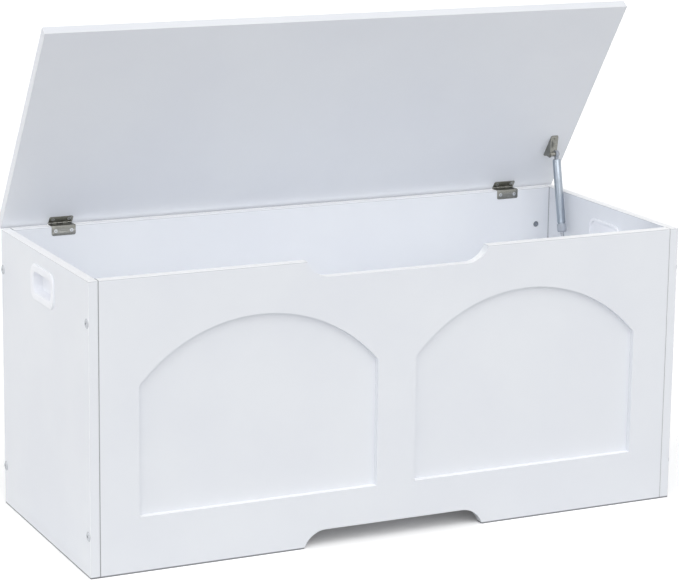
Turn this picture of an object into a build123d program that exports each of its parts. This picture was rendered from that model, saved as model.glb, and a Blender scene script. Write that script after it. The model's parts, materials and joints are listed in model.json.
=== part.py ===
from build123d import *

import os
from math import atan2, cos, degrees, radians, sin, sqrt
from typing import NamedTuple

# A white toy chest: five boards, a hinged lid, two hand holds, two hinges and a lid stay.
# Millimetres, +X to the right, +Y to the back, +Z up, standing on the floor at z = 0.
# The lid stands open, as it rests when the lid stay is fully out.

# Boards
box_width = 1000.0
box_depth = 400.0
box_height = 450.0
board = 15.0
bottom_board = 12.0
bottom_height = 45.0
groove_depth = 6.0
groove_clearance = 0.15
edge_round = 0.8

# Lid
lid_board = 15.0
lid_overhang = 6.0
knuckle_notch_gap = 0.5
lid_open_angle = 56.0
lid_rest_gap = 0.3

# Arched recesses of the front panel
arch_width = 390.0
arch_gap = 65.0
arch_base = 86.0
arch_side = 201.0
arch_rise = 90.0
recess_depth = 9.0
recess_slope = 0.4

# Finger notch and toe-kick of the front panel
notch_width = 236.0
notch_depth = 26.0
notch_radius = 38.0
toe_width = 236.0
toe_depth = 27.0
toe_radius = 38.0

# Hand holds in the side panels
handle_drop = 50.0
handle_cut_width = 84.0
handle_cut_height = 36.0
handle_cut_round = 12.0
handle_flange_border = 10.0
handle_flange = 2.5
handle_wall = 2.0
handle_fit = 0.2
handle_lip_round = 1.6
ring_border = 5.0
ring_thickness = 2.4
ring_round = 0.8
cup_recess = 1.6

# Connector bolts, their barrel nuts and the dowels of the corner joints
bolt_inset = 64.0
bolt_head_radius = 7.5
bolt_head = 1.8
bolt_radius = 3.0
bolt_fit = 0.25
bolt_tail = 8.0
bolt_socket = 4.0
bolt_socket_depth = 1.2
nut_inset = 25.0
nut_radius = 5.0
nut_length = 12.0
nut_fit = 0.1
nut_slot_width = 1.2
nut_slot_depth = 1.0
dowel_inset = 120.0
dowel_radius = 4.0
dowel_in_side = 10.0
dowel_in_edge = 20.0
dowel_fit = 0.05
hole_end_gap = 0.5

# Hinges
hinge_inset = 98.5
leaf_width = 40.0
leaf_thickness = 0.8
leaf_drop = 15.0
lid_leaf_length = 12.0
leaf_corner = 3.0
leaf_bend_round = 0.7
leaf_gap = 0.3
knuckle_radius = 2.0
knuckle_count = 5
knuckle_gap = 0.2
knuckle_setback = 0.3
hinge_pin_radius = 0.9
pin_clearance = 0.05
hinge_screw_spacing = 26.5

# Lid stay
strut_inset = 14.0
strut_along = 84.0
strut_drop = 14.3
foot_setback = 109.0
foot_drop = 175.0
tube_radius = 7.0
tube_wall = 1.0
tube_start = 9.0
tube_slack = 6.0
collar_radius = 7.8
collar_length = 15.0
rod_radius = 3.0
piston_length = 10.0
piston_clearance = 0.1
plug_length = 4.0
guide_length = 8.0
eye_radius = 6.0
eye_thickness = 5.0
pivot_radius = 2.5
pivot_head_radius = 4.0
pivot_head = 1.5
rod_end_length = 20.0
rod_socket = 10.0
bracket_plate = 1.5
bracket_reach = 46.0
bracket_low = 16.0
bracket_edge_gap = 2.0
bracket_corner = 3.0
bracket_screw_margin = 2.6
lug_radius = 5.5
lug_offset = 13.5
foot_plate_width = 18.0
foot_plate_height = 42.0
foot_plate_round = 8.0
foot_screw_spacing = 29.0
open_pivot_gap = 0.3


class Screw(NamedTuple):
    """A countersunk wood screw: head radius and height, shank radius and full length."""

    head_radius: float
    head_height: float
    shank_radius: float
    length: float


hinge_screw = Screw(2.9, 1.6, 1.4, 12.0)
strut_screw = Screw(3.4, 1.8, 1.6, 12.0)
screw_clearance = 0.1
screw_slot_width = 0.9
screw_slot_depth = 0.9

# The hinge axis lies behind and above the top edge of the back panel, and the lid lies on the leaves.
lid_gap = 2 * leaf_thickness + leaf_gap
axis_behind_back = knuckle_radius + knuckle_setback
lid_seat = lid_gap - knuckle_radius
open_sin = sin(radians(lid_open_angle))
open_cos = cos(radians(lid_open_angle))

# The upper rear edge of the open lid reaches furthest back. The origin is under the middle of the
# whole depth, from the front of the box to that edge.
lid_behind_axis = lid_overhang - axis_behind_back
lid_rear_reach = axis_behind_back + lid_behind_axis * open_cos + (lid_seat + lid_board) * open_sin
front_y = -(box_depth + lid_rear_reach) / 2
back_y = front_y + box_depth
middle_y = (front_y + back_y) / 2
axis_y = back_y + axis_behind_back
axis_z = box_height + knuckle_radius

inner_width = box_width - 2 * board
inner_depth = box_depth - 2 * board
half_inner = inner_width / 2
groove_height = bottom_board + 2 * groove_clearance
handle_height = box_height - handle_drop
foot_height = box_height - foot_drop

# Planes that the sub-parts are drawn on
front_plane = Plane.XZ.offset(-front_y)
front_inner_plane = Plane.XZ.offset(-(front_y + board))
back_inner_plane = Plane.XZ.offset(-(back_y - board))
lid_frame = Plane(origin=(0, axis_y, axis_z), x_dir=(1, 0, 0), z_dir=(0, open_sin, open_cos))
lid_under = lid_frame.offset(lid_seat)

sides = {"left": -1, "right": 1}
ends = (-1, 1)
bolt_heights = (bolt_inset, box_height - bolt_inset)
dowel_heights = (dowel_inset, box_height - dowel_inset)


def side_plane(sign: int, depth: float = 0.0) -> Plane:
    """The outer face of a side panel, or a plane that far inside it, with Z upwards on it."""
    x = sign * (box_width / 2 - depth)
    return Plane(origin=(x, middle_y, 0), x_dir=(0, sign, 0), z_dir=(sign, 0, 0))


def lid_point(x: float, back: float, up: float) -> Vector:
    """A point of the open lid, from its place behind and above the hinge axis when closed."""
    return lid_frame.from_local_coords(Vector(x, back, up))


def section_plane(x: float, tilted: bool) -> Plane:
    """A plane across the hinge axis, with the box or turned with the open lid."""
    across = lid_frame.y_dir if tilted else Vector(0, 1, 0)
    return Plane(origin=(x, axis_y, axis_z), x_dir=across, z_dir=(1, 0, 0))


def screws(planes: list, size: Screw) -> None:
    """Wood screws with crossed slots, heads flush with the given planes."""
    top = (Align.CENTER, Align.CENTER, Align.MAX)
    with Locations(*planes):
        Cone(size.shank_radius, size.head_radius, size.head_height, align=top)
        Cylinder(size.shank_radius, size.length, align=top)
        Box(screw_slot_width, size.head_radius, screw_slot_depth, align=top, mode=Mode.SUBTRACT)
        Box(size.head_radius, screw_slot_width, screw_slot_depth, align=top, mode=Mode.SUBTRACT)


def screw_holes(planes: list, size: Screw) -> None:
    """The holes that those screws sit in, larger by the screw clearance."""
    top = (Align.CENTER, Align.CENTER, Align.MAX)
    shank = size.shank_radius + screw_clearance
    head = size.head_radius + screw_clearance
    with Locations(*planes):
        Cone(shank, head, size.head_height, align=top, mode=Mode.SUBTRACT)
        Cylinder(shank, size.length + screw_clearance, align=top, mode=Mode.SUBTRACT)


def edge_cutout(width: float, depth: float, radius: float, edge: float, inward: int) -> Sketch:
    """A cut-out at the top or bottom edge of the front panel, its ends curving out to the edge.

    Each end is an arc that leaves the straight stretch along its own line.
    """
    run = sqrt(radius**2 - (radius - depth) ** 2)
    level = edge + inward * depth
    half = width / 2
    with BuildSketch() as cutout:
        with BuildLine():
            Line((-half, level), (half, level))
            TangentArc((half, level), (half + run, edge), tangent=(1, 0))
            Line((half + run, edge), (-half - run, edge))
            TangentArc((-half, level), (-half - run, edge), tangent=(-1, 0))
        make_face()
    return cutout.sketch


def end_plane(end: int, x: float, y: float) -> Plane:
    """A plane across the length of the front or back panel, facing that end."""
    return Plane(origin=(end * x, y, 0), x_dir=(0, end, 0), z_dir=(end, 0, 0))


def wall_cuts(inner_plane: Plane, wall_middle_y: float, into: int) -> Part:
    """What is cut from the front or back panel: bolt, nut and dowel holes, and the bottom groove."""
    with BuildPart() as cuts:
        for end in ends:
            with BuildSketch(end_plane(end, half_inner, wall_middle_y)):
                with Locations(*[(0, z) for z in bolt_heights]):
                    Circle(bolt_radius + bolt_fit)
            extrude(amount=-(nut_inset + bolt_tail + hole_end_gap))
            with BuildSketch(end_plane(end, half_inner, wall_middle_y)):
                with Locations(*[(0, z) for z in dowel_heights]):
                    Circle(dowel_radius + dowel_fit)
            extrude(amount=-(dowel_in_edge + hole_end_gap))
        with BuildSketch(inner_plane):
            with Locations(*nut_points):
                Circle(nut_radius + nut_fit)
        extrude(amount=into * (nut_length + nut_fit))
        with BuildSketch(inner_plane):
            with Locations((0, bottom_height + groove_height / 2)):
                Rectangle(inner_width, groove_height)
        extrude(amount=into * groove_depth)
    return cuts.part


os.makedirs("parts", exist_ok=True)


def save(piece: BuildPart, name: str) -> None:
    """Label a finished piece and write its file."""
    piece.part.label = name
    export_step(piece.part, f"parts/{name}.step")


nut_points = [(end * (half_inner - nut_inset), z) for end in ends for z in bolt_heights]
front_middle_y = front_y + board / 2
back_middle_y = back_y - board / 2
wall_offsets = (front_middle_y - middle_y, back_middle_y - middle_y)
bolt_spots = [(y, z) for y in wall_offsets for z in bolt_heights]
dowel_spots = [(y, z) for y in wall_offsets for z in dowel_heights]

# Hinge places: screw planes on the box leaf's flap and on the lid leaf
hinge_centres = {side: sign * (box_width / 2 - hinge_inset) for side, sign in sides.items()}
flap_face_y = back_y - board - leaf_thickness
box_screw_planes = {
    side: [
        Plane(
            origin=(x + end * hinge_screw_spacing / 2, flap_face_y, box_height - leaf_drop / 2),
            x_dir=(1, 0, 0),
            z_dir=(0, -1, 0),
        )
        for end in ends
    ]
    for side, x in hinge_centres.items()
}
lid_leaf_middle = -axis_behind_back - lid_leaf_length / 2
lid_leaf_face = lid_seat - leaf_thickness
lid_screw_planes = {
    side: [
        Plane(
            origin=lid_point(x + end * hinge_screw_spacing / 2, lid_leaf_middle, lid_leaf_face),
            x_dir=(1, 0, 0),
            z_dir=-lid_frame.z_dir,
        )
        for end in ends
    ]
    for side, x in hinge_centres.items()
}
all_box_screws = [plane for planes in box_screw_planes.values() for plane in planes]
all_lid_screws = [plane for planes in lid_screw_planes.values() for plane in planes]

# Lid stay: the upper pivot on the open lid, the lower one on the right side panel, and the line between
strut_x = half_inner - strut_inset
lug_x = strut_x - lug_offset
pivot_back = -axis_behind_back - strut_along
pivot_up = lid_seat - strut_drop
upper_pivot = lid_point(strut_x, pivot_back, pivot_up)
lower_pivot = Vector(strut_x, back_y - foot_setback, foot_height)
strut_line = lower_pivot - upper_pivot
open_length = strut_line.length
strut_dir = strut_line.normalized()

# The lid closes past level, until its free edge rests on the front and side panels.
close_past_level = degrees(atan2(lid_gap - lid_rest_gap, box_depth))
lid_travel = lid_open_angle + close_past_level
past = radians(close_past_level)
closed_pivot = Vector(
    strut_x,
    axis_y + pivot_back * cos(past) - pivot_up * sin(past),
    axis_z + pivot_back * sin(past) + pivot_up * cos(past),
)
closed_line = lower_pivot - closed_pivot
strut_travel = open_length - closed_line.length
open_lean = degrees(atan2(strut_line.Y, -strut_line.Z))
closed_lean = degrees(atan2(closed_line.Y, -closed_line.Z))
strut_turn = closed_lean - open_lean

tube_bore = tube_radius - tube_wall
tube_length = plug_length + tube_slack + strut_travel + piston_length + guide_length
tube_end = tube_start + tube_length
piston_end = tube_end - guide_length - tube_slack / 2
rod_tip = open_length - rod_end_length + rod_socket
strut_plane = Plane(origin=upper_pivot, x_dir=(1, 0, 0), z_dir=strut_dir)

# Screw planes of the two strut brackets
bracket_base_up = lid_seat - bracket_plate
bracket_far = strut_along - bracket_low + bracket_reach
bracket_near = strut_along - bracket_low
bracket_right = half_inner - bracket_edge_gap
bracket_screw_inset = strut_screw.head_radius + bracket_screw_margin
bracket_screw_left = lug_x + bracket_plate + bracket_screw_inset
bracket_tip_right = bracket_screw_left + bracket_screw_inset
bracket_screw_spots = (
    (bracket_screw_left, bracket_near + bracket_screw_inset),
    (bracket_screw_left, bracket_far - bracket_screw_inset),
    (bracket_right - bracket_screw_inset, bracket_near + bracket_screw_inset),
)
bracket_screw_planes = [
    Plane(
        origin=lid_point(x, -axis_behind_back - along, bracket_base_up),
        x_dir=(1, 0, 0),
        z_dir=-lid_frame.z_dir,
    )
    for x, along in bracket_screw_spots
]
foot_face_x = half_inner - bracket_plate
foot_centre = (foot_face_x, lower_pivot.Y, foot_height)
foot_screw_planes = [
    Plane(
        origin=(foot_face_x, lower_pivot.Y, foot_height + end * foot_screw_spacing / 2),
        x_dir=(0, 1, 0),
        z_dir=(-1, 0, 0),
    )
    for end in ends
]

# Front panel: two arched recesses with steep walls, the finger notch and the toe-kick
notch = edge_cutout(notch_width, notch_depth, notch_radius, box_height, -1)
toe_kick = edge_cutout(toe_width, toe_depth, toe_radius, 0.0, 1)
front_cuts = wall_cuts(front_inner_plane, front_middle_y, 1)
back_cuts = wall_cuts(back_inner_plane, back_middle_y, -1)
with BuildPart() as front_panel:
    with BuildSketch(front_plane):
        Rectangle(inner_width, box_height, align=(Align.CENTER, Align.MIN))
        add(notch, mode=Mode.SUBTRACT)
        add(toe_kick, mode=Mode.SUBTRACT)
    extrude(amount=-board)
    long_edges = front_panel.edges().filter_by(Axis.Z).filter_by(lambda e: e.length > box_height / 2)
    top_edges = front_panel.edges().filter_by(Axis.X).group_by(Axis.Z)[-1]
    fillet(long_edges + top_edges, radius=edge_round)
    with BuildSketch(front_plane):
        for end in ends:
            centre = end * (arch_width + arch_gap) / 2
            left = centre - arch_width / 2
            right = centre + arch_width / 2
            spring = arch_base + arch_side
            with BuildLine():
                Polyline((left, spring), (left, arch_base), (right, arch_base), (right, spring))
                ThreePointArc((right, spring), (centre, spring + arch_rise), (left, spring))
            make_face()
    extrude(amount=-recess_depth, taper=degrees(atan2(recess_slope, recess_depth)), mode=Mode.SUBTRACT)
    add(front_cuts, mode=Mode.SUBTRACT)
save(front_panel, "front_panel")

with BuildPart() as back_panel:
    with BuildSketch(back_inner_plane):
        Rectangle(inner_width, box_height, align=(Align.CENTER, Align.MIN))
    extrude(amount=-board)
    fillet(back_panel.edges().filter_by(Axis.X), radius=edge_round)
    add(back_cuts, mode=Mode.SUBTRACT)
    screw_holes(all_box_screws, hinge_screw)
save(back_panel, "back_panel")

# Bottom panel, seated on the lower faces of the grooves
with BuildPart() as bottom_panel:
    with BuildSketch(Plane.XY.offset(bottom_height)):
        with Locations((0, middle_y)):
            Rectangle(
                inner_width + 2 * (groove_depth - groove_clearance),
                inner_depth + 2 * (groove_depth - groove_clearance),
            )
    extrude(amount=bottom_board)
save(bottom_panel, "bottom_panel")

for side, sign in sides.items():
    outer = side_plane(sign)
    inner = side_plane(sign, board)
    outward = -1 if sign > 0 else 0
    inward = 0 if sign > 0 else -1

    # Side panel with its hand hold opening, bolt and dowel holes and bottom groove
    with BuildPart() as side_panel:
        with BuildSketch(outer):
            Rectangle(box_depth, box_height, align=(Align.CENTER, Align.MIN))
        extrude(amount=-board)
        fillet(side_panel.edges(), radius=edge_round)
        with BuildSketch(outer):
            with Locations(*bolt_spots):
                Circle(bolt_radius + bolt_fit)
            with Locations((0, handle_height)):
                RectangleRounded(handle_cut_width, handle_cut_height, handle_cut_round)
        extrude(amount=-board, mode=Mode.SUBTRACT)
        with BuildSketch(inner):
            with Locations(*dowel_spots):
                Circle(dowel_radius + dowel_fit)
        extrude(amount=dowel_in_side + hole_end_gap, mode=Mode.SUBTRACT)
        with BuildSketch(inner):
            with Locations((0, bottom_height + groove_height / 2)):
                Rectangle(inner_depth + 2 * groove_depth, groove_height)
        extrude(amount=groove_depth, mode=Mode.SUBTRACT)
        if sign > 0:
            screw_holes(foot_screw_planes, strut_screw)
    save(side_panel, f"{side}_side_panel")

    # Handle cup: a flange on the outer face and a closed cup through the panel
    cup_width = handle_cut_width - 2 * handle_fit
    cup_height = handle_cut_height - 2 * handle_fit
    cup_round = handle_cut_round - handle_fit
    cup_depth = board + ring_thickness - cup_recess
    with BuildPart() as handle_cup:
        with BuildSketch(outer):
            with Locations((0, handle_height)):
                RectangleRounded(
                    cup_width + 2 * handle_flange_border,
                    cup_height + 2 * handle_flange_border,
                    cup_round + handle_flange_border / 2,
                )
        extrude(amount=handle_flange)
        fillet(handle_cup.faces().sort_by(Axis.X)[outward].edges(), radius=handle_lip_round)
        with BuildSketch(outer):
            with Locations((0, handle_height)):
                RectangleRounded(cup_width, cup_height, cup_round)
        extrude(amount=-cup_depth)
        with BuildSketch(outer.offset(handle_flange)):
            with Locations((0, handle_height)):
                RectangleRounded(
                    cup_width - 2 * handle_wall, cup_height - 2 * handle_wall, cup_round - handle_wall
                )
        extrude(amount=-(handle_flange + cup_depth - handle_wall), mode=Mode.SUBTRACT)
    save(handle_cup, f"{side}_handle_cup")

    # Ring round the cup's end on the inner face
    with BuildPart() as handle_ring:
        with BuildSketch(inner):
            with Locations((0, handle_height)):
                RectangleRounded(
                    handle_cut_width + 2 * ring_border,
                    handle_cut_height + 2 * ring_border,
                    handle_cut_round + ring_border / 2,
                )
        extrude(amount=-ring_thickness)
        fillet(handle_ring.faces().sort_by(Axis.X)[inward].edges(), radius=ring_round)
        with BuildSketch(inner):
            with Locations((0, handle_height)):
                RectangleRounded(handle_cut_width, handle_cut_height, handle_cut_round)
        extrude(amount=-ring_thickness, mode=Mode.SUBTRACT)
    save(handle_ring, f"{side}_handle_ring")

    # Connector bolts through the side panel into the barrel nuts
    with BuildPart() as side_bolts:
        with BuildSketch(outer):
            with Locations(*bolt_spots):
                Circle(bolt_head_radius)
        extrude(amount=bolt_head)
        fillet(side_bolts.edges().group_by(Axis.X)[outward], radius=bolt_head / 2)
        with BuildSketch(outer):
            with Locations(*bolt_spots):
                Circle(bolt_radius)
        extrude(amount=-(board + nut_inset + bolt_tail))
        with BuildSketch(outer.offset(bolt_head)):
            with Locations(*bolt_spots):
                RegularPolygon(bolt_socket / 2, 6)
        extrude(amount=-bolt_socket_depth, mode=Mode.SUBTRACT)
    save(side_bolts, f"{side}_side_bolts")

# Barrel nuts and dowels of the front and back panels
for wall, inner_plane, wall_middle_y, into in (
    ("front", front_inner_plane, front_middle_y, 1),
    ("back", back_inner_plane, back_middle_y, -1),
):
    with BuildPart() as barrel_nuts:
        with BuildSketch(inner_plane):
            with Locations(*nut_points):
                Circle(nut_radius)
        extrude(amount=into * nut_length)
        with BuildSketch(inner_plane):
            with Locations(*nut_points):
                Rectangle(nut_slot_width, 2 * nut_radius)
        extrude(amount=into * nut_slot_depth, mode=Mode.SUBTRACT)
        for end in ends:
            with BuildSketch(end_plane(end, half_inner, wall_middle_y)):
                with Locations(*[(0, z) for z in bolt_heights]):
                    Circle(bolt_radius + nut_fit)
            extrude(amount=-(nut_inset + nut_radius), mode=Mode.SUBTRACT)
    save(barrel_nuts, f"{wall}_barrel_nuts")

    with BuildPart() as dowels:
        for end in ends:
            with BuildSketch(end_plane(end, half_inner + dowel_in_side, wall_middle_y)):
                with Locations(*[(0, z) for z in dowel_heights]):
                    Circle(dowel_radius)
            extrude(amount=-(dowel_in_side + dowel_in_edge))
    save(dowels, f"{wall}_dowels")

# Lid board, flush with the front and the sides when closed. It hangs over the back panel, so that no
# light shows under it when open, and is notched from below round the knuckles.
with BuildPart() as lid:
    with BuildSketch(lid_under):
        with Locations((0, lid_behind_axis)):
            Rectangle(box_width, box_depth + lid_overhang, align=(Align.CENTER, Align.MAX))
    extrude(amount=lid_board)
    fillet(lid.edges(), radius=edge_round)
    with BuildSketch(lid_under):
        with Locations(*[(x, -axis_behind_back) for x in hinge_centres.values()]):
            Rectangle(
                leaf_width + 2 * knuckle_notch_gap,
                lid_overhang + knuckle_notch_gap,
                align=(Align.CENTER, Align.MIN),
            )
    extrude(amount=knuckle_radius - lid_seat + knuckle_notch_gap, mode=Mode.SUBTRACT)
    screw_holes(all_lid_screws, hinge_screw)
    screw_holes(bracket_screw_planes, strut_screw)
save(lid, "lid")

# Hinges: knuckles 0, 2, 4 on the box leaf and 1, 3 on the lid leaf
knuckle_pitch = leaf_width / knuckle_count
knuckle_length = knuckle_pitch - knuckle_gap
for side, centre_x in hinge_centres.items():
    left_x = centre_x - leaf_width / 2
    starts = [left_x + i * knuckle_pitch + knuckle_gap / 2 for i in range(knuckle_count)]
    web_low = -knuckle_radius
    web_top = web_low + leaf_thickness
    flap_in = -axis_behind_back - board - leaf_thickness

    with BuildPart() as box_leaf:
        with BuildSketch(section_plane(left_x, False)):
            with BuildLine():
                Polyline(
                    (flap_in, web_low - leaf_drop),
                    (flap_in + leaf_thickness, web_low - leaf_drop),
                    (flap_in + leaf_thickness, web_low),
                    (-axis_behind_back, web_low),
                    (-axis_behind_back, web_top),
                    (flap_in, web_top),
                    close=True,
                )
            make_face()
        extrude(amount=leaf_width)
        corners = box_leaf.edges().filter_by(Axis.Y).group_by(Axis.Z)[0]
        fillet(corners, radius=leaf_corner)
        bend = box_leaf.edges().filter_by(Axis.X).group_by(Axis.Y)[0].sort_by(Axis.Z)[-1]
        fillet(bend, radius=leaf_bend_round)
        for start in starts[0::2]:
            with BuildSketch(section_plane(start, False)):
                Circle(knuckle_radius)
                with Locations((0, web_top)):
                    Rectangle(
                        axis_behind_back + leaf_thickness, leaf_thickness, align=(Align.MAX, Align.MAX)
                    )
                Circle(hinge_pin_radius + pin_clearance, mode=Mode.SUBTRACT)
            extrude(amount=knuckle_length)
        screw_holes(box_screw_planes[side], hinge_screw)
    save(box_leaf, f"{side}_hinge_box_leaf")

    with BuildPart() as lid_leaf:
        with BuildSketch(lid_frame.offset(lid_seat - leaf_thickness)) as leaf_outline:
            with Locations((centre_x, -axis_behind_back)):
                Rectangle(leaf_width, lid_leaf_length, align=(Align.CENTER, Align.MAX))
            fillet(leaf_outline.vertices().group_by(Axis.Y)[0], radius=leaf_corner)
        extrude(amount=leaf_thickness)
        for start in starts[1::2]:
            with BuildSketch(section_plane(start, True)):
                Circle(knuckle_radius)
                with BuildLine():
                    Polyline(
                        (-axis_behind_back, lid_seat - leaf_thickness),
                        (-axis_behind_back, lid_seat),
                        (0, lid_seat),
                        (0, lid_seat - leaf_thickness),
                        close=True,
                    )
                make_face()
                Circle(hinge_pin_radius + pin_clearance, mode=Mode.SUBTRACT)
            extrude(amount=knuckle_length)
        screw_holes(lid_screw_planes[side], hinge_screw)
    save(lid_leaf, f"{side}_hinge_lid_leaf")

    with BuildPart() as hinge_pin:
        with BuildSketch(section_plane(left_x, False)):
            Circle(hinge_pin_radius)
        extrude(amount=leaf_width)
    save(hinge_pin, f"{side}_hinge_pin")

with BuildPart() as hinge_box_screws:
    screws(all_box_screws, hinge_screw)
save(hinge_box_screws, "hinge_box_screws")

with BuildPart() as hinge_lid_screws:
    screws(all_lid_screws, hinge_screw)
save(hinge_lid_screws, "hinge_lid_screws")

# Lid bracket of the stay: a three-cornered plate under the lid and a lug bent down from its long side
with BuildPart() as strut_lid_bracket:
    with BuildSketch(lid_frame.offset(bracket_base_up)) as base:
        with BuildLine():
            Polyline(
                (lug_x, -axis_behind_back - bracket_near),
                (bracket_right, -axis_behind_back - bracket_near),
                (bracket_tip_right, -axis_behind_back - bracket_far),
                (lug_x, -axis_behind_back - bracket_far),
                close=True,
            )
        make_face()
        fillet(base.vertices(), radius=bracket_corner)
    extrude(amount=bracket_plate)
    with BuildSketch(section_plane(lug_x, True)):
        with BuildLine():
            Polyline(
                (-axis_behind_back - bracket_near - bracket_corner, bracket_base_up),
                (pivot_back + lug_radius, pivot_up),
                (pivot_back - lug_radius, pivot_up),
                (-axis_behind_back - bracket_far + bracket_corner, bracket_base_up),
                close=True,
            )
        make_face()
        with Locations((pivot_back, pivot_up)):
            Circle(lug_radius)
            Circle(pivot_radius, mode=Mode.SUBTRACT)
    extrude(amount=bracket_plate)
    screw_holes(bracket_screw_planes, strut_screw)
save(strut_lid_bracket, "strut_lid_bracket")

with BuildPart() as strut_lid_screws:
    screws(bracket_screw_planes, strut_screw)
save(strut_lid_screws, "strut_lid_screws")

# Pin of the upper pivot: a head outside the lug, a shoulder up to the eye and a head past it
pin_plane = Plane(origin=upper_pivot, x_dir=lid_frame.y_dir, z_dir=(1, 0, 0))
eye_half = eye_thickness / 2
with BuildPart() as strut_lid_pin:
    with BuildSketch(pin_plane.offset(-lug_offset - pivot_head)):
        Circle(pivot_head_radius)
    extrude(amount=pivot_head)
    with BuildSketch(pin_plane.offset(-lug_offset)):
        Circle(pivot_radius)
    extrude(amount=lug_offset + eye_half + open_pivot_gap)
    with BuildSketch(pin_plane.offset(-lug_offset + bracket_plate)):
        Circle(pivot_head_radius)
    extrude(amount=lug_offset - bracket_plate - eye_half - open_pivot_gap)
    with BuildSketch(pin_plane.offset(eye_half + open_pivot_gap)):
        Circle(pivot_head_radius)
    extrude(amount=pivot_head)
save(strut_lid_pin, "strut_lid_pin")

# Upper end of the stay: an eye on the pin, a neck and a plug in the tube
strut_side = Plane(origin=upper_pivot, x_dir=strut_dir, z_dir=(1, 0, 0))
with BuildPart() as strut_top_eye:
    with BuildSketch(strut_side.offset(-eye_half)):
        Circle(eye_radius)
        with Locations((tube_start / 2, 0)):
            Rectangle(tube_start, eye_radius)
        Circle(pivot_radius + pin_clearance, mode=Mode.SUBTRACT)
    extrude(amount=eye_thickness)
    with BuildSketch(strut_plane.offset(tube_start)):
        Circle(tube_bore)
    extrude(amount=plug_length)
save(strut_top_eye, "strut_top_eye")

with BuildPart() as strut_tube:
    with BuildSketch(strut_plane.offset(tube_start)):
        Circle(tube_radius)
        Circle(tube_bore, mode=Mode.SUBTRACT)
    extrude(amount=tube_length)
save(strut_tube, "strut_tube")

# Collar over the tube's end, with the rod guide inside it
with BuildPart() as strut_collar:
    with BuildSketch(strut_plane.offset(tube_end - guide_length)):
        Circle(tube_bore)
    extrude(amount=guide_length)
    with BuildSketch(strut_plane.offset(tube_end)):
        Circle(collar_radius)
    extrude(amount=collar_length)
    fillet(strut_collar.edges().filter_by(GeomType.CIRCLE).sort_by(Axis.Z)[0:1], radius=tube_wall)
    with BuildSketch(strut_plane.offset(tube_end - guide_length)):
        Circle(rod_radius + pin_clearance)
    extrude(amount=guide_length + collar_length, mode=Mode.SUBTRACT)
save(strut_collar, "strut_collar")

with BuildPart() as strut_rod:
    with BuildSketch(strut_plane.offset(piston_end - piston_length)):
        Circle(rod_radius)
    extrude(amount=rod_tip - piston_end + piston_length)
save(strut_rod, "strut_rod")

with BuildPart() as strut_piston:
    with BuildSketch(strut_plane.offset(piston_end - piston_length)):
        Circle(tube_bore - piston_clearance)
        Circle(rod_radius, mode=Mode.SUBTRACT)
    extrude(amount=piston_length)
save(strut_piston, "strut_piston")

# Lower end of the stay: a socket on the rod and an eye round the stud
foot_side = Plane(origin=lower_pivot, x_dir=-strut_dir, z_dir=(1, 0, 0))
with BuildPart() as strut_rod_end:
    with BuildSketch(foot_side.offset(-eye_half)):
        Circle(eye_radius)
        with Locations(((rod_end_length - rod_socket) / 2, 0)):
            Rectangle(rod_end_length - rod_socket, eye_radius)
    extrude(amount=eye_thickness)
    with BuildSketch(strut_plane.offset(open_length - rod_end_length)):
        Circle(eye_radius - tube_wall)
    extrude(amount=rod_socket)
    with BuildSketch(strut_plane.offset(open_length - rod_end_length)):
        Circle(rod_radius)
    extrude(amount=rod_socket, mode=Mode.SUBTRACT)
    with BuildSketch(foot_side.offset(-eye_half)):
        Circle(pivot_radius)
    extrude(amount=eye_thickness, mode=Mode.SUBTRACT)
save(strut_rod_end, "strut_rod_end")

# Stud of the lower pivot. It moves with the rod and stops just short of the foot plate.
stud_reach = foot_face_x - open_pivot_gap - strut_x
with BuildPart() as strut_foot_stud:
    with BuildSketch(foot_side.offset(-eye_half - pivot_head)):
        Circle(pivot_head_radius)
    extrude(amount=pivot_head)
    with BuildSketch(foot_side.offset(-eye_half)):
        Circle(pivot_radius)
    extrude(amount=eye_half + stud_reach)
    with BuildSketch(foot_side.offset(eye_half)):
        Circle(pivot_head_radius)
    extrude(amount=stud_reach - eye_half)
save(strut_foot_stud, "strut_foot_stud")

with BuildPart() as strut_foot_plate:
    with BuildSketch(Plane(origin=foot_centre, x_dir=(0, 1, 0), z_dir=(1, 0, 0))):
        RectangleRounded(foot_plate_width, foot_plate_height, foot_plate_round)
    extrude(amount=bracket_plate)
    screw_holes(foot_screw_planes, strut_screw)
save(strut_foot_plate, "strut_foot_plate")

with BuildPart() as strut_foot_screws:
    screws(foot_screw_planes, strut_screw)
save(strut_foot_screws, "strut_foot_screws")

print(f"Lid travel {lid_travel:.4f} degrees")
print(f"Lid stay: turn {strut_turn:.4f} degrees, travel {strut_travel:.4f} mm")
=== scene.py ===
"""A white toy chest with its lid open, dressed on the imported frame.

Metres, +X to the right, +Y to the back, +Z up. The chest stands on the floor at z = 0. The pieces
that are shaped here are drawn in millimetres, and scaled when they are done.
"""

import json
import logging
from dataclasses import dataclass
from enum import Enum
from math import pi, radians
from typing import Iterable, Optional, Sequence, Union

import bmesh
import bpy
from mathutils import Matrix, Vector


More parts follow.
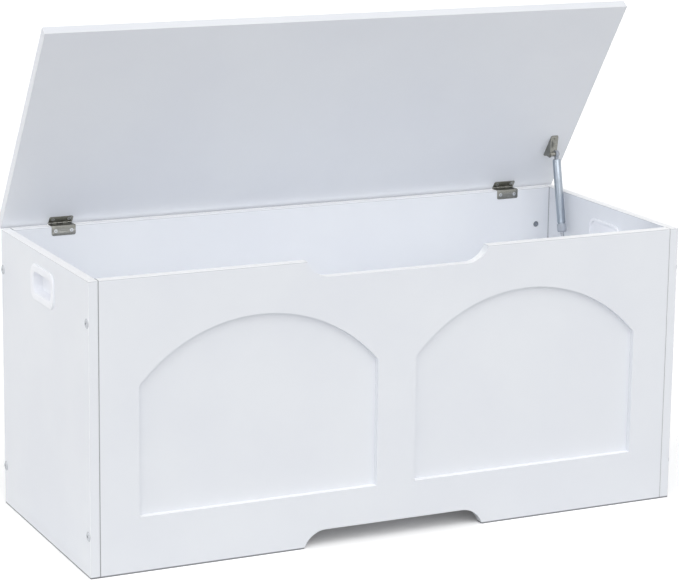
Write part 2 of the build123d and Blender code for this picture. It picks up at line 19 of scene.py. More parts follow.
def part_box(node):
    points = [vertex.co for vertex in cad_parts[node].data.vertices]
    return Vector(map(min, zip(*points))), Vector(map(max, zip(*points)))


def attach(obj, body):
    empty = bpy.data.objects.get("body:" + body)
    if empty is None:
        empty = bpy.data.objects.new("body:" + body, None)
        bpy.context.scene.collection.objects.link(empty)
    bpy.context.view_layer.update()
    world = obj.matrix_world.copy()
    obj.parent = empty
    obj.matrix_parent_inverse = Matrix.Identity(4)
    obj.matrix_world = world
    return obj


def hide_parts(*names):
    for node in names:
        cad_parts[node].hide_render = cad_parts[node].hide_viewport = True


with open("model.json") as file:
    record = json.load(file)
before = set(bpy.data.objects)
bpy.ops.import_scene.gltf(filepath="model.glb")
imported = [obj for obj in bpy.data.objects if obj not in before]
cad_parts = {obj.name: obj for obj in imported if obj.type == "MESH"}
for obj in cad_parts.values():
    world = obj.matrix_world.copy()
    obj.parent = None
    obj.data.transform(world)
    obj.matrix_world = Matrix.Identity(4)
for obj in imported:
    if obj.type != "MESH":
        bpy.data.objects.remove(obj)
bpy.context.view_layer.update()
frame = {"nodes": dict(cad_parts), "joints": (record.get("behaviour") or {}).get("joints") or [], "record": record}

LOG = logging.getLogger("toy_chest")
MM = 0.001
PHOTO_WIDTH = 679
MERGE_GAP = 0.001

Triple = tuple[float, float, float]
Colour = tuple[float, float, float]
Pair = tuple[float, float]
Profile = tuple[Pair, ...]
Material = bpy.types.Material
Node = bpy.types.Node
Tree = bpy.types.NodeTree
Socket = bpy.types.NodeSocket
Vert = bmesh.types.BMVert
Loop = list[bmesh.types.BMEdge]
Value = Union[float, tuple, Socket]


class Body(Enum):
    """The moving bodies of the frame."""

    BOX = "box"
    LID = "lid"
    BARREL = "strut_barrel"
    ROD = "strut_rod"


class Slot(Enum):
    """The material slots of the record."""

    BOARD = "white_board"
    HANDLE = "handle_plastic"
    ZINC = "zinc_fastener"
    DOWEL = "dowel_wood"
    HINGE = "hinge_steel"
    STRUT = "strut_grey"
    STRUT_PLASTIC = "strut_plastic"
    ROD = "rod_steel"


class Side(Enum):
    """The two ends of the chest, by the sign of X."""

    LEFT = -1
    RIGHT = 1

    @property
    def label(self) -> str:
        """The side's name as the nodes have it."""
        return self.name.lower()


def linear(red: int, green: int, blue: int) -> Colour:
    """Turn a display colour, from 0 to 255, into the linear values that shaders use."""
    shares = (channel / 255 for channel in (red, green, blue))
    return tuple(s / 12.92 if s <= 0.04045 else ((s + 0.055) / 1.055) ** 2.4 for s in shares)


class Graph:
    """Adds and links the nodes of one shader tree."""

    def __init__(self, tree: Tree) -> None:
        """Keep the tree that the nodes go into."""
        self.tree = tree

    def add(self, kind: str, inputs: Optional[dict] = None, **settings: object) -> Node:
        """Add a node, set its own settings and fill its input sockets.

        Args:
            kind: the node's type.
            inputs: values or output sockets, by input name or number.
            settings: the node's own properties.

        Returns:
            The new node.
        """
        node = self.tree.nodes.new(kind)
        for name, setting in settings.items():
            setattr(node, name, setting)
        for key, value in (inputs or {}).items():
            self.feed(node.inputs[key], value)
        return node

    def feed(self, socket: Socket, value: Value) -> None:
        """Link an output to a socket, or set the socket's own value.

        Args:
            socket: the input socket.
            value: an output socket, a number, or a colour or vector.
        """
        if isinstance(value, Socket):
            self.tree.links.new(value, socket)
        elif socket.type == "RGBA" and len(value) == 3:
            socket.default_value = (*value, 1.0)
        else:
            socket.default_value = value

    def math(self, operation: str, *values: Value) -> Socket:
        """Return the result of a Math node."""
        return self.add("ShaderNodeMath", dict(enumerate(values)), operation=operation).outputs[0]

    def times(self, first: Value, second: Value) -> Socket:
        """Return the product of two values."""
        return self.math("MULTIPLY", first, second)

    def apart(self, first: Value, second: Value) -> Socket:
        """Return how far two values lie apart."""
        return self.math("ABSOLUTE", self.math("SUBTRACT", first, second))

    def vector(self, operation: str, *values: Value) -> Socket:
        """Return the vector result of a Vector Math node."""
        inputs = dict(enumerate(values))
        return self.add("ShaderNodeVectorMath", inputs, operation=operation).outputs[0]

    def split(self, vector: Value) -> tuple[Socket, ...]:
        """Return the three parts of a vector."""
        return tuple(self.add("ShaderNodeSeparateXYZ", {0: vector}).outputs)

    def blend(self, factor: Value, first: Value, second: Value) -> Socket:
        """Return a colour between two, by a factor."""
        inputs = {0: factor, 6: first, 7: second}
        return self.add("ShaderNodeMix", inputs, data_type="RGBA").outputs[2]

    def spread(self, value: Value, low: float, high: float) -> Socket:
        """Return a 0 to 1 value spread over another range."""
        inputs = {"Value": value, "To Min": low, "To Max": high}
        return self.add("ShaderNodeMapRange", inputs).outputs["Result"]

    def fade(self, value: Value, start: Value, end: Value) -> Socket:
        """Return a smooth mask that goes from 1 at the start to 0 at the end."""
        inputs = {"Value": value, "From Min": start, "From Max": end, "To Min": 1.0, "To Max": 0.0}
        return self.add("ShaderNodeMapRange", inputs, interpolation_type="SMOOTHSTEP").outputs[0]

    def noise(self, vector: Value, scale: Value, detail: float, roughness: float = 0.5) -> Socket:
        """Return the value of a noise texture."""
        inputs = {"Vector": vector, "Scale": scale, "Detail": detail, "Roughness": roughness}
        return self.add("ShaderNodeTexNoise", inputs).outputs[0]

    def group(self, tree: Tree, **inputs: Value) -> Node:
        """Place a shader group and fill its inputs by name."""
        return self.add("ShaderNodeGroup", inputs, node_tree=tree)


class Effects:
    """The shader groups that several finishes share."""

    CLOUD_EDGES = (0.7, 0.3)
    LINE_EDGES = (0.75, 0.25)
    SPOT_EDGES = (0.68, 0.56)
    FACING_UP = (0.8, 0.4)
    SEAM_WIDTH = 0.3
    RIM_WIDTH = 0.5
    RIM_TONE = 0.35
    FOOT_FADE = 1.5

    def __init__(self) -> None:
        """Build each group once."""
        self.mottle = self._mottle()
        self.grain = self._grain()
        self.arris = self._arris()
        self.brush = self._brush()

    @staticmethod
    def _start(
        name: str, vectors: Sequence[str], values: Sequence[str], outputs: Sequence[str]
    ) -> tuple[Graph, bpy.types.NodeOutputs, bpy.types.NodeInputs]:
        """Make an empty group with named sockets.

        Args:
            name: the group's name.
            vectors: the names of its vector inputs.
            values: the names of its value inputs.
            outputs: the names of its value outputs.

        Returns:
            Its graph, what is given to it, and the results to fill.
        """
        tree = bpy.data.node_groups.new(name, "ShaderNodeTree")
        for labels, way, kind in (
            (vectors, "INPUT", "NodeSocketVector"),
            (values, "INPUT", "NodeSocketFloat"),
            (outputs, "OUTPUT", "NodeSocketFloat"),
        ):
            for label in labels:
                tree.interface.new_socket(label, in_out=way, socket_type=kind)
        graph = Graph(tree)
        return graph, graph.add("NodeGroupInput").outputs, graph.add("NodeGroupOutput").inputs

    def _mottle(self) -> Tree:
        """Broad soft clouds, for slow changes of tone and gloss.

        Returns:
            The group's tree.
        """
        graph, given, result = self._start("soft_mottle", ["Vector"], ["Scale"], ["Mask"])
        clouds = graph.noise(given["Vector"], given["Scale"], detail=4.0, roughness=0.55)
        graph.feed(result["Mask"], graph.fade(clouds, *self.CLOUD_EDGES))
        return graph.tree

    def _grain(self) -> Tree:
        """The fine skin of a film, a paint or a moulded part.

        Returns:
            The group's tree.
        """
        graph, given, result = self._start("fine_skin", ["Vector"], ["Scale"], ["Height"])
        graph.feed(result["Height"], graph.noise(given["Vector"], given["Scale"], detail=2.0))
        return graph.tree

    def _arris(self) -> Tree:
        """How near a point is to the edges of a square-edged board.

        Of its three distances to the board's faces, the middle one is the distance to an edge.
        The third output is a painted highlight over each cut of a standing board that faces up.
        The last is a dark line: a painted shade line under the rim, a painted contact shadow along
        the foot on the floor, and the dark joints at the ends of a butted board, with painted shade.

        Returns:
            The group's tree.
        """
        graph, given, result = self._start(
            "board_arris",
            ["Vector", "Normal", "Centre", "Half"],
            ["Width", "Gap", "Butted", "Standing"],
            ["Edge", "Seam", "TopHighlight", "Line"],
        )
        width = given["Width"]
        gap = given["Gap"]
        standing = given["Standing"]
        offset = graph.vector("SUBTRACT", given["Vector"], given["Centre"])
        inside = graph.vector("SUBTRACT", given["Half"], graph.vector("ABSOLUTE", offset))
        x, y, z = graph.split(inside)
        low = graph.math("MINIMUM", x, y)
        high = graph.math("MAXIMUM", x, y)
        distance = graph.math("MAXIMUM", low, graph.math("MINIMUM", high, z))
        graph.feed(result["Edge"], graph.fade(distance, 0.0, width))
        seam = graph.apart(distance, width)
        graph.feed(result["Seam"], graph.fade(seam, 0.0, graph.times(width, self.SEAM_WIDTH)))

        # painted highlight: each cut of a standing board that faces up is made paler, as if lit from above
        top_highlight = graph.fade(graph.split(given["Normal"])[2], *self.FACING_UP)
        graph.feed(result["TopHighlight"], graph.times(top_highlight, standing))

        height = graph.split(offset)[2]
        half = graph.split(given["Half"])[2]
        # dark joints at the ends of a butted board, with painted shade in the gap
        end = graph.times(graph.fade(x, 0.0, gap), given["Butted"])
        # painted contact shadow along the foot of a standing board
        foot = graph.fade(graph.math("ADD", half, height), gap, graph.times(gap, self.FOOT_FADE))
        # painted shade line just under the rim
        rim = graph.apart(graph.math("SUBTRACT", half, height), width)
        rim = graph.fade(rim, 0.0, graph.times(width, self.RIM_WIDTH))
        level = graph.math("MAXIMUM", foot, graph.times(rim, self.RIM_TONE))
        graph.feed(result["Line"], graph.math("MAXIMUM", end, graph.times(level, standing)))
        return graph.tree

    def _brush(self) -> Tree:
        """Fine lines along one direction, and small rubbed spots, on plated metal.

        Returns:
            The group's tree.
        """
        graph, given, result = self._start(
            "plated_brush", ["Vector", "Stretch"], ["Scale"], ["Lines", "Spots"]
        )
        stretched = graph.vector("MULTIPLY", given["Vector"], given["Stretch"])
        lines = graph.noise(stretched, 1.0, detail=3.0)
        graph.feed(result["Lines"], graph.fade(lines, *self.LINE_EDGES))
        spots = graph.noise(given["Vector"], given["Scale"], detail=5.0, roughness=0.7)
        graph.feed(result["Spots"], graph.fade(spots, *self.SPOT_EDGES))
        return graph.tree


class Coat(Graph):
    """A material in the making: its shader's inputs, and where each point of its surface is."""

    def __init__(self, name: str, effects: Effects) -> None:
        """Start a material that holds a Principled shader.

        Args:
            name: the material's name.
            effects: the shared shader groups.
        """
        self.material = bpy.data.materials.new(name)
        self.material.use_nodes = True
        super().__init__(self.material.node_tree)
        self.effects = effects
        self.shader = self.tree.nodes["Principled BSDF"].inputs
        surface = self.add("ShaderNodeTexCoord").outputs
        self.place = surface["Object"]
        self.normal = surface["Normal"]

    def cover(self, colour: Value, roughness: Value) -> None:
        """Give the surface its colour and its roughness."""
        self.feed(self.shader["Base Color"], colour)
        self.feed(self.shader["Roughness"], roughness)

    def relief(self, height: Value, strength: float, depth: float) -> None:
        """Give the surface the normal of a fine relief."""
        inputs = {"Height": height, "Strength": strength, "Distance": depth}
        self.feed(self.shader["Normal"], self.add("ShaderNodeBump", inputs).outputs[0])

    def clouds(self, scale: float) -> Socket:
        """Return the mask of broad soft clouds."""
        return self.group(self.effects.mottle, Vector=self.place, Scale=scale).outputs["Mask"]

    def skin(self, scale: float, strength: float, depth: float) -> None:
        """Lay the fine skin of a film or a moulding."""
        grain = self.group(self.effects.grain, Vector=self.place, Scale=scale)
        self.relief(grain.outputs["Height"], strength, depth)


@dataclass(frozen=True, kw_only=True)
class Finish:
    """What all finishes have: two tones of a colour, and the roughness of each."""

    colour: Colour
    tone: Colour
    gloss: float
    dull: float

    def make(self, name: str, effects: Effects) -> Material:
        """Build the material.

        Args:
            name: the material's name.
            effects: the shared shader groups.

        Returns:
            The material.
        """
        coat = Coat(name, effects)
        self.lay(coat)
        return coat.material

    def lay(self, coat: Coat) -> None:
        """Lay the finish on a material, as each kind of finish does in its own way."""
        raise NotImplementedError

    def tint(self, coat: Coat, mask: Value) -> None:
        """Go from the first tone and roughness to the second, by a mask."""
        rough = coat.spread(mask, self.gloss, self.dull)
        coat.cover(coat.blend(mask, self.colour, self.tone), rough)


@dataclass(frozen=True)
class Board:
    """A square-edged board: its middle and half sizes, its turn about X, and how it is set.

    A butted board ends against other boards, and a standing one is on the floor with its rim open.
    """

    node: str
    centre: Triple
    half: Triple
    turn: float = 0.0
    butted: bool = False
    standing: bool = False

    @classmethod
    def upright(cls, node: str, butted: bool = False, standing: bool = True) -> "Board":
        """Measure a board that is square in the frame, by its node and how it is set."""
        low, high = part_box(node)
        return cls(node, tuple((low + high) / 2), tuple((high - low) / 2), 0.0, butted, standing)


@dataclass(frozen=True, kw_only=True)
class LaminateFinish(Finish):
    """White satin film on one engineered board, with painted highlights and painted shade lines."""

    board: Board
    colour: Colour = linear(235, 238, 243)
    tone: Colour = linear(232, 235, 241)
    # painted highlight colour, for the arrises and the up-facing cuts
    edge: Colour = linear(252, 253, 255)
    seam: Colour = linear(205, 208, 214)
    # dark colour of the joints at butted ends, also used as painted shade: the contact shadow at the foot and the
    # line under the rim
    gap: Colour = linear(92, 94, 98)
    highlight_share: float = 0.6
    seam_share: float = 0.35
    gap_and_shade_share: float = 0.85
    gloss: float = 0.36
    dull: float = 0.46
    cloud_scale: float = 5.0
    skin_scale: float = 420.0
    skin_depth: float = 0.04 * MM
    skin_strength: float = 0.25
    edge_width: float = 1.2 * MM
    gap_and_shade_width: float = 1.9 * MM

    def lay(self, coat: Coat) -> None:
        """Lay the film, its seams, and its painted highlights and painted shade.

        Args:
            coat: the material in the making.
        """
        board = self.board
        if board.turn:
            inputs = {"Vector": coat.place, "Rotation": (-board.turn, 0.0, 0.0)}
            coat.place = coat.add("ShaderNodeMapping", inputs).outputs[0]
        arris = coat.group(
            coat.effects.arris, Vector=coat.place, Normal=coat.normal,
            Centre=board.centre, Half=board.half, Width=self.edge_width, Gap=self.gap_and_shade_width,
            Butted=float(board.butted), Standing=float(board.standing),
        ).outputs
        # painted highlight mask: near the arrises and on the up-facing cuts
        painted_highlight = coat.math("MAXIMUM", coat.times(arris["Edge"], self.highlight_share), arris["TopHighlight"])
        clouds = coat.clouds(self.cloud_scale)
        colour = coat.blend(clouds, self.colour, self.tone)
        colour = coat.blend(painted_highlight, colour, self.edge)
        colour = coat.blend(coat.times(arris["Seam"], self.seam_share), colour, self.seam)
        # dark joints, painted contact shadow at the foot and painted shade line under the rim
        colour = coat.blend(coat.times(arris["Line"], self.gap_and_shade_share), colour, self.gap)
        coat.cover(colour, coat.spread(clouds, self.gloss, self.dull))
        coat.skin(self.skin_scale, self.skin_strength, self.skin_depth)


@dataclass(frozen=True, kw_only=True)
class MouldedFinish(Finish):
    """A moulded plastic: one colour with a fine skin and slow changes of gloss."""

    skin_scale: float
    skin_depth: float
    skin_strength: float = 0.3
    cloud_scale: float = 30.0

    def lay(self, coat: Coat) -> None:
        """Lay the clouds and the skin."""
        self.tint(coat, coat.clouds(self.cloud_scale))
        coat.skin(self.skin_scale, self.skin_strength, self.skin_depth)


@dataclass(frozen=True, kw_only=True)
class PlatedFinish(Finish):
    """Plated, painted or polished steel with brush lines and rubbed spots."""

    stretch: Triple
    spot_scale: float = 600.0
    line_share: float = 0.35
    spot_share: float = 0.5
    line_depth: float = 0.01 * MM
    line_strength: float = 0.2

    def lay(self, coat: Coat) -> None:
        """Lay the lines and the spots.

        Args:
            coat: the material in the making.
        """
        coat.shader["Metallic"].default_value = 1.0
        sizes = {"Stretch": self.stretch, "Scale": self.spot_scale}
        lines, spots = coat.group(coat.effects.brush, Vector=coat.place, **sizes).outputs
        colour = coat.blend(coat.times(lines, self.line_share), self.colour, self.tone)
        colour = coat.blend(coat.times(spots, self.spot_share), colour, self.tone)
        rubbed = coat.math("MAXIMUM", lines, spots)
        coat.cover(colour, coat.spread(rubbed, self.gloss, self.dull))
        coat.relief(lines, self.line_strength, self.line_depth)


@dataclass(frozen=True, kw_only=True)
class BeechFinish(Finish):
    """Plain beech with fine rays along the dowel."""

    colour: Colour = linear(206, 172, 128)
    tone: Colour = linear(172, 132, 90)
    gloss: float = 0.6
    dull: float = 0.75
    stretch: Triple = (60.0, 900.0, 900.0)

    def lay(self, coat: Coat) -> None:
        """Lay the rays."""
        brush = coat.group(coat.effects.brush, Vector=coat.place, Stretch=self.stretch)
        self.tint(coat, brush.outputs["Lines"])


@dataclass(frozen=True)
class Palette:
    """The finishes of all pieces but the boards."""

    moulded: Finish = MouldedFinish(
        colour=linear(247, 249, 254), tone=linear(243, 245, 251),
        gloss=0.3, dull=0.38, skin_scale=900.0, skin_depth=0.03 * MM,
    )
    collar: Finish = MouldedFinish(
        colour=linear(168, 174, 184), tone=linear(160, 166, 177),
        gloss=0.4, dull=0.5, skin_scale=1500.0, skin_depth=0.04 * MM,
    )
    silver: Finish = PlatedFinish(
        colour=linear(176, 185, 195), tone=linear(112, 120, 130),
        gloss=0.26, dull=0.38, stretch=(420.0, 420.0, 3.0),
    )
    zinc: Finish = PlatedFinish(
        colour=linear(214, 216, 219), tone=linear(166, 168, 172),
        gloss=0.28, dull=0.45, stretch=(900.0, 60.0, 900.0),
    )
    bolt: Finish = PlatedFinish(
        colour=linear(192, 195, 200), tone=linear(136, 139, 145),
        gloss=0.3, dull=0.45, stretch=(900.0, 60.0, 900.0),
    )
    nut: Finish = PlatedFinish(
        colour=linear(158, 163, 170), tone=linear(92, 96, 103),
        gloss=0.2, dull=0.4, stretch=(260.0, 260.0, 260.0),
    )
    nickel: Finish = PlatedFinish(
        colour=linear(152, 152, 146), tone=linear(104, 103, 98),
        gloss=0.24, dull=0.4, stretch=(60.0, 1500.0, 1500.0),
    )
    bright: Finish = PlatedFinish(
        colour=linear(190, 194, 200), tone=linear(150, 154, 160),
        gloss=0.14, dull=0.24, stretch=(1500.0, 1500.0, 40.0),
    )
    beech: Finish = BeechFinish()

    def by_slot(self, effects: Effects) -> dict[Slot, Material]:
        """Build the material of each slot.

        Args:
            effects: the shared shader groups.

        Returns:
            The materials by slot.
        """
        return {
            Slot.HANDLE: self.moulded.make("moulded_white", effects),
            Slot.ZINC: self.zinc.make("zinc_plate", effects),
            Slot.DOWEL: self.beech.make("plain_beech", effects),
            Slot.HINGE: self.nickel.make("nickel_plate", effects),
            Slot.STRUT: self.silver.make("silver_paint", effects),
            Slot.STRUT_PLASTIC: self.collar.make("grey_moulded", effects),
            Slot.ROD: self.bright.make("polished_steel", effects),
        }


def paint(node: str, material: Material) -> None:
    """Give a node of the frame its finish, and report it.

    Args:
        node: the node's name.
        material: its finish.
    """
    mesh = frame["nodes"][node].data
    mesh.materials.clear()
    mesh.materials.append(material)
    LOG.info("%s: %s", node, material.name)


@dataclass(frozen=True)
class Home:
    """Where a piece belongs: its body, its slot, its finish and the nodes that it stands for."""

    body: Body
    slot: Slot
    material: Material
    nodes: tuple[str, ...]


def placed(origin: Sequence[float], across: Sequence[float], out: Sequence[float]) -> Matrix:
    """Give the frame that stands at a point with its X and Z along two directions.

    Args:
        origin: the point, in millimetres.
        across: the direction of X.
        out: the direction of Z.

    Returns:
        The frame's matrix.
    """
    z = Vector(out).normalized()
    x = Vector(across).normalized()
    turn = Matrix((x, z.cross(x), z)).transposed()
    return Matrix.Translation(origin) @ turn.to_4x4()


def corners(node: str) -> tuple[Vector, Vector]:
    """Return a node's lowest and highest corners, in millimetres."""
    low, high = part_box(node)
    return low / MM, high / MM


def joint(name: str) -> dict:
    """Return a joint of the frame by its name."""
    return next(row for row in frame["joints"] if row["name"] == name)


@dataclass(frozen=True)
class Chest:
    """The places on the frame that the pieces share, in millimetres."""

    side: float
    front: float
    back: float
    top: float
    board: float
    axis: Pair
    lid_turn: float = radians(-56.0)
    lid_half: Triple = (500.0, 203.0, 7.5)

    @classmethod
    def measure(cls) -> "Chest":
        """Take the places from the boards and the hinge joint.

        Returns:
            The places.
        """
        low, high = corners("back_panel")
        return cls(
            side=corners("right_side_panel")[1].x, front=corners("front_panel")[0].y,
            back=high.y, top=high.z, board=high.y - low.y,
            axis=tuple(Vector(joint("lid_hinge")["pos_m"][1:]) / MM),
        )

    @property
    def behind(self) -> float:
        """How far the hinge axis lies behind the back panel."""
        return self.axis[0] - self.back

    def at_axis(self, x: float) -> Matrix:
        """Return the upright frame at a point of the hinge axis."""
        return Matrix.Translation((x, *self.axis))

    def on_lid(self, x: float = 0.0) -> Matrix:
        """Return the frame at a point of the hinge axis that is turned with the open lid."""
        return self.at_axis(x) @ Matrix.Rotation(self.lid_turn, 4, "X")

    def dress(self, effects: Effects) -> None:
        """Give each board its finish.

        Args:
            effects: the shared shader groups.
        """
        low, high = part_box("lid")
        middle = Matrix.Rotation(-self.lid_turn, 3, "X") @ ((low + high) / 2)
        boards = (
            Board.upright("front_panel", butted=True),
            Board.upright("back_panel", butted=True),
            Board.upright("left_side_panel"),
            Board.upright("right_side_panel"),
            Board.upright("bottom_panel", standing=False),
            Board("lid", tuple(middle), tuple(size * MM for size in self.lid_half), self.lid_turn),
        )
        for board in boards:
            finish = LaminateFinish(board=board)
            paint(board.node, finish.make(f"laminate_{board.node}", effects))


def only_verts(geom: Iterable) -> list[Vert]:
    """Return the vertices among the parts that an operator made."""
    return [part for part in geom if isinstance(part, Vert)]


class Shaper:
    """One piece in the making, shaped by operators in millimetres."""

    CREASE = radians(32.0)
    CORNER_STEPS = 8

    def __init__(self) -> None:
        """Start with an empty form."""
        self.form = bmesh.new()

    def _loop(self, verts: Sequence[Vert]) -> Loop:
        """Make an outline that was just drawn a bare loop.

        Args:
            verts: the outline's vertices.

        Returns:
            Its edges.
        """
        faces = list({face for vert in verts for face in vert.link_faces})
        bmesh.ops.delete(self.form, geom=faces, context="FACES_ONLY")
        return list({edge for vert in verts for edge in vert.link_edges})

    def ring(self, width: float, height: float, radius: float, level: float) -> Loop:
        """Draw a rectangle with round corners.

        Args:
            width: its size along X.
            height: its size along Y.
            radius: the radius of its corners.
            level: its place along Z.

        Returns:
            The outline's edges.
        """
        place = Matrix.Translation((0.0, 0.0, level)) @ Matrix.Diagonal((width, height, 1.0, 1.0))
        flat = bmesh.ops.create_grid(self.form, x_segments=1, y_segments=1, size=0.5, matrix=place)
        return self._loop(self.round_corners(flat["verts"], radius, self.CORNER_STEPS))

    def circle(self, radius: float, level: float, sides: int = 48, cuts: int = 0) -> Loop:
        """Draw a circle or a regular polygon.

        Args:
            radius: the radius of its corners.
            level: its place along Z.
            sides: how many sides it has.
            cuts: how many points divide each side.

        Returns:
            The outline's edges.
        """
        place = Matrix.Translation((0.0, 0.0, level))
        drawn = bmesh.ops.create_circle(self.form, radius=radius, segments=sides, matrix=place)
        edges = self._loop(drawn["verts"])
        if cuts:
            split = bmesh.ops.subdivide_edges(self.form, edges=edges, cuts=cuts)
            edges = self._loop(only_verts(split["geom_inner"]))
        return edges

    def round_corners(self, points: Sequence[Vert], radius: float, steps: int) -> list[Vert]:
        """Round the corners of a flat face.

        Args:
            points: the vertices at the corners.
            radius: the radius of the rounds.
            steps: how many edges make a round.

        Returns:
            The vertices of the rounds.
        """
        return bmesh.ops.bevel(
            self.form, geom=list(points), offset=radius, offset_type="OFFSET", segments=steps,
            profile=0.5, affect="VERTICES", material=-1,
        )["verts"]

    def skin(self, loops: Sequence[Loop], caps: Sequence[int] = (0, -1)) -> None:
        """Close the loops that are caps, and lay walls from each loop to the next.

        Args:
            loops: the outlines in order.
            caps: which of them get a face.
        """
        for end in caps:
            bmesh.ops.contextual_create(self.form, geom=loops[end])
        for first, second in zip(loops, loops[1:]):
            bmesh.ops.bridge_loops(self.form, edges=first + second)

    def line(self, places: Iterable[Sequence[float]]) -> tuple[list[Vert], Loop]:
        """Draw a line through some places, and return its points and its edges."""
        points = [self.form.verts.new(place) for place in places]
        return points, [self.form.edges.new(pair) for pair in zip(points, points[1:])]

    def turn(self, profile: Sequence[Pair], steps: int = 48) -> None:
        """Turn a half profile of radii and heights round the Z axis."""
        points, edges = self.line((radius, 0.0, level) for radius, level in profile)
        bmesh.ops.spin(
            self.form, geom=points + edges, cent=(0.0, 0.0, 0.0), axis=(0.0, 0.0, 1.0),
            angle=2 * pi, steps=steps, use_merge=True,
        )

    def finish(self, name: str, home: Home, places: Sequence[Matrix]) -> bpy.types.Object:
        """Copy the form to its places, close the seams and make it an object.

        Args:
            name: the piece's name.
            home: where the piece belongs.
            places: where the copies go, in millimetres.

        Returns:
            The object.
        """
        form = self.form
        master = form.verts[:]
        whole = master + form.edges[:] + form.faces[:]
        for place in places:
            copy = bmesh.ops.duplicate(form, geom=whole)["geom"]
            bmesh.ops.transform(form, matrix=place, verts=only_verts(copy))
        bmesh.ops.delete(form, geom=master, context="VERTS")
        bmesh.ops.remove_doubles(form, verts=form.verts, dist=MERGE_GAP)
        bmesh.ops.scale(form, vec=(MM, MM, MM), verts=form.verts)
        bmesh.ops.recalc_face_normals(form, faces=form.faces)
        for face in form.faces:
            face.smooth = True
        for edge in form.edges:
            edge.smooth = edge.calc_face_angle(0.0) < self.CREASE
        mesh = bpy.data.meshes.new(name)
        form.to_mesh(mesh)
        form.free()
        mesh.materials.append(home.material)
        piece = bpy.data.objects.new(name, mesh)
        bpy.context.scene.collection.objects.link(piece)
        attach(piece, home.body.value)
        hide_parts(*home.nodes)
        LOG.info("%s rides on %s: %d faces", name, home.body.value, len(mesh.polygons))
        return piece


@dataclass(frozen=True)
class Screw:
    """A wood screw with a raised countersunk head and a crossed recess.

    The arm is a share of the head's radius, and the recess one of its depth and of the arms at its
    floor. The cut, in arms, is how far out the grid of the cross loses its corners. Dome gives
    shares of the head's radius and of its crown.
    """

    head: float
    depth: float
    shank: float
    length: float
    crown: float
    tip: float = 0.2
    arm: float = 0.36
    cut: float = 1.2
    recess: float = 0.55
    dome: Profile = ((0.72, 0.72), (0.93, 0.25), (1.0, 0.0))
    sides: int = 36

    def shape(self, shaper: Shaper) -> None:
        """Shape one screw, its head's edge level with the origin.

        Args:
            shaper: the form that it goes into.
        """
        form = shaper.form
        arm = self.arm * self.head
        grow = Matrix.Diagonal((3 * arm, 3 * arm, 1.0, 1.0))
        place = Matrix.Translation((0.0, 0.0, self.crown)) @ grow
        grid = bmesh.ops.create_grid(form, x_segments=3, y_segments=3, size=0.5, matrix=place)
        cells = {face for vert in grid["verts"] for face in vert.link_faces}
        outer = [cell for cell in cells if cell.calc_center_median().xy.length > self.cut * arm]
        bmesh.ops.delete(form, geom=outer, context="FACES")
        cross = [cell for cell in cells if cell.is_valid]
        floor = only_verts(bmesh.ops.extrude_face_region(form, geom=cross)["geom"])
        bmesh.ops.translate(form, vec=(0.0, 0.0, -self.recess * self.depth), verts=floor)
        bmesh.ops.scale(form, vec=(self.recess, self.recess, 1.0), verts=floor)
        mouth = [cell for cell in cross if cell.is_valid]
        bmesh.ops.delete(form, geom=mouth, context="FACES_ONLY")
        rim = [edge for edge in form.edges if edge.is_boundary]
        outlines = (
            *((share * self.head, height * self.crown) for share, height in self.dome),
            (self.shank, -self.depth),
            (self.shank, 2 * self.shank - self.length),
            (self.tip, -self.length),
        )
        loops = [shaper.circle(*outline, self.sides) for outline in outlines]
        shaper.skin([rim] + loops, caps=(-1,))


@dataclass
class Handle:
    """A moulded grip on one side panel: the cup outside and the trim ring inside.

    The steps give each outline's inset, its level above the panel's outer face and its radius.
    """

    side: Side
    chest: Chest
    drop: float = 50.0
    cup_size: Pair = (103.6, 55.6)
    ring_size: Pair = (94.0, 46.0)
    cup_steps: tuple[Triple, ...] = (
        (11.5, -15.8, 10.6), (10.4, -15.5, 11.4), (10.0, -14.8, 11.8), (10.0, -0.05, 11.8),
        (0.0, 0.0, 16.8), (0.0, 0.9, 16.8), (0.2, 1.6, 16.6), (0.6, 2.15, 16.3),
        (1.2, 2.42, 15.8), (2.0, 2.47, 15.2), (9.6, 2.5, 11.0), (10.8, 2.25, 10.5),
        (11.6, 1.6, 10.0), (12.0, 0.4, 9.8), (12.4, -11.0, 9.5), (12.7, -12.6, 9.2),
        (13.6, -13.6, 8.4), (15.0, -13.8, 7.0),
    )
    ring_steps: tuple[Triple, ...] = (
        (0.0, -15.0, 14.5), (0.0, -16.5, 14.5), (0.3, -17.1, 14.3), (0.9, -17.36, 14.0),
        (4.0, -17.4, 12.6), (4.6, -17.15, 12.2), (5.0, -16.6, 12.0), (5.0, -15.05, 12.0),
    )

    def build(self, material: Material) -> None:
        """Shape both mouldings and put them in the panel.

        Args:
            material: the moulded finish.
        """
        sign = self.side.value
        label = self.side.label
        chest = self.chest
        centre = (sign * chest.side, (chest.front + chest.back) / 2, chest.top - self.drop)
        place = placed(centre, (0.0, sign, 0.0), (sign, 0.0, 0.0))
        for name, node, (width, height), steps, caps in (
            ("grip_cup", "handle_cup", self.cup_size, self.cup_steps, (0, -1)),
            ("grip_trim", "handle_ring", self.ring_size, self.ring_steps, ()),
        ):
            moulding = Shaper()
            loops = [
                moulding.ring(width - 2 * inset, height - 2 * inset, radius, level)
                for inset, level, radius in steps
            ]
            moulding.skin(loops if caps else loops + loops[:1], caps)
            home = Home(Body.BOX, Slot.HANDLE, material, (f"{label}_{node}",))
            moulding.finish(f"{name}_{label}", home, [place])


